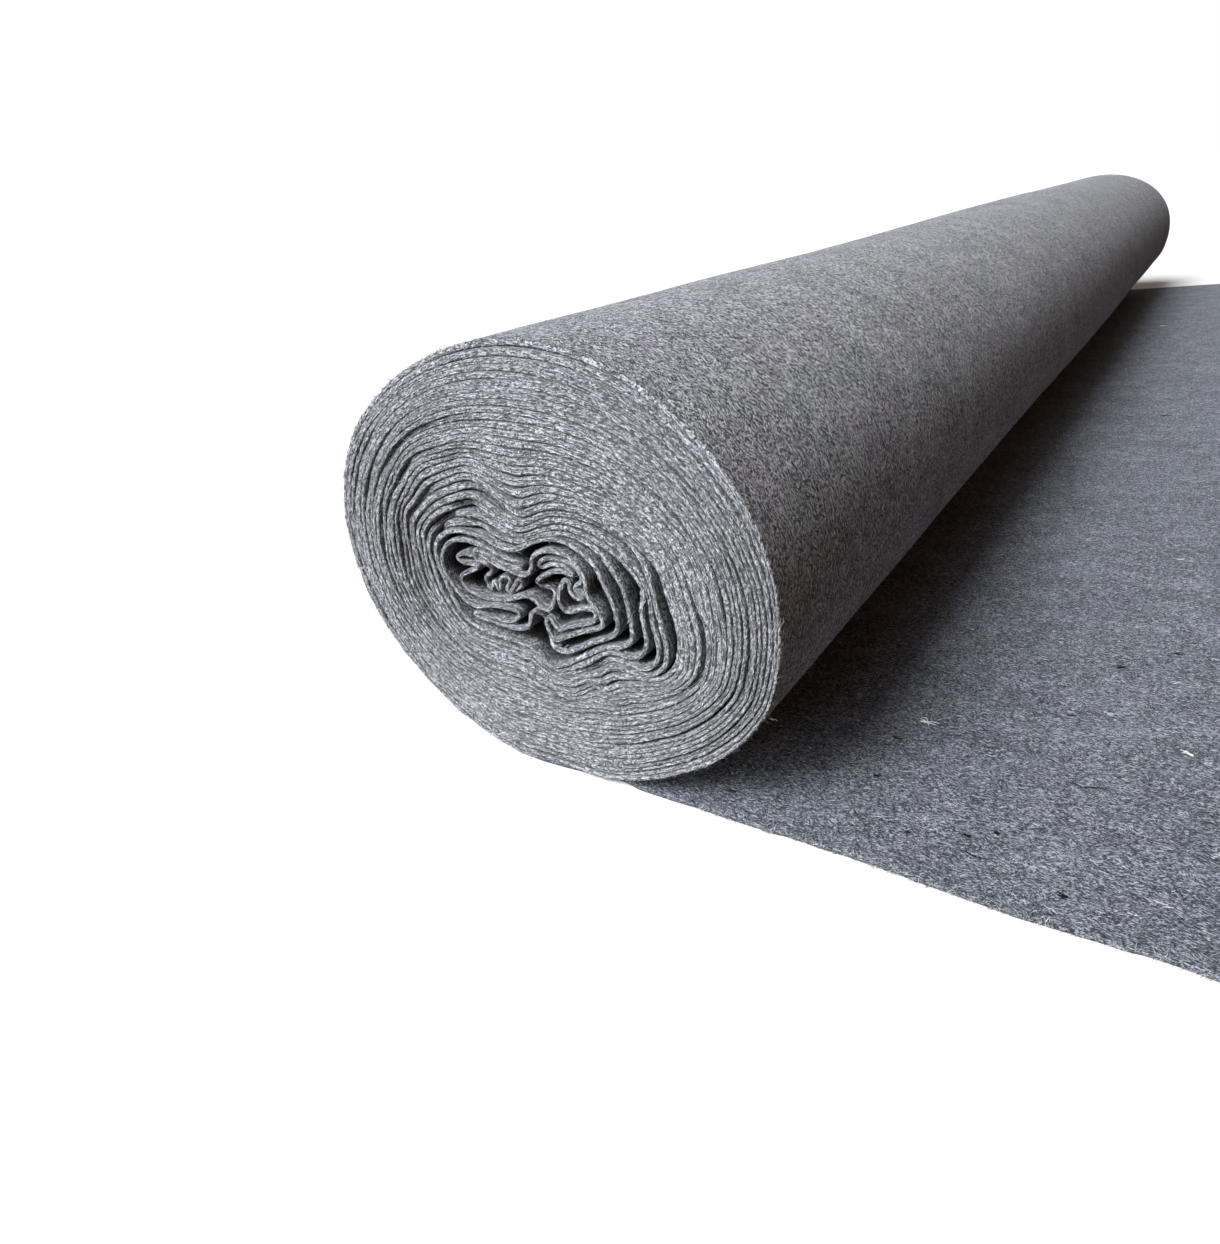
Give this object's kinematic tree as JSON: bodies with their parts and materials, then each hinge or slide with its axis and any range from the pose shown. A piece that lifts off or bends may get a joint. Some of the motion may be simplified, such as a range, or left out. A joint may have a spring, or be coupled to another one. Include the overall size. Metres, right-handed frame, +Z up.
{
  "type": "roll of geotextile felt",
  "caption": "Roll of grey needle-punched geotextile felt on its side, wound without a tube, with a crumpled middle and a flat loose end.",
  "frame": {"origin": "on the floor under the roll's axis, at the middle of the cloth's width, on the loose end's underside", "axes": "+Y along the roll away from its near end, +X the way the loose end runs out, +Z up"},
  "size_m": [0.5963, 1.9998, 0.246],
  "materials": {
    "grey_felt": "matte heather grey needle-punched felt"
  },
  "bodies": {
    "root": {"roll": "grey_felt", "loose_end": "grey_felt"}
  },
  "joints": []
}
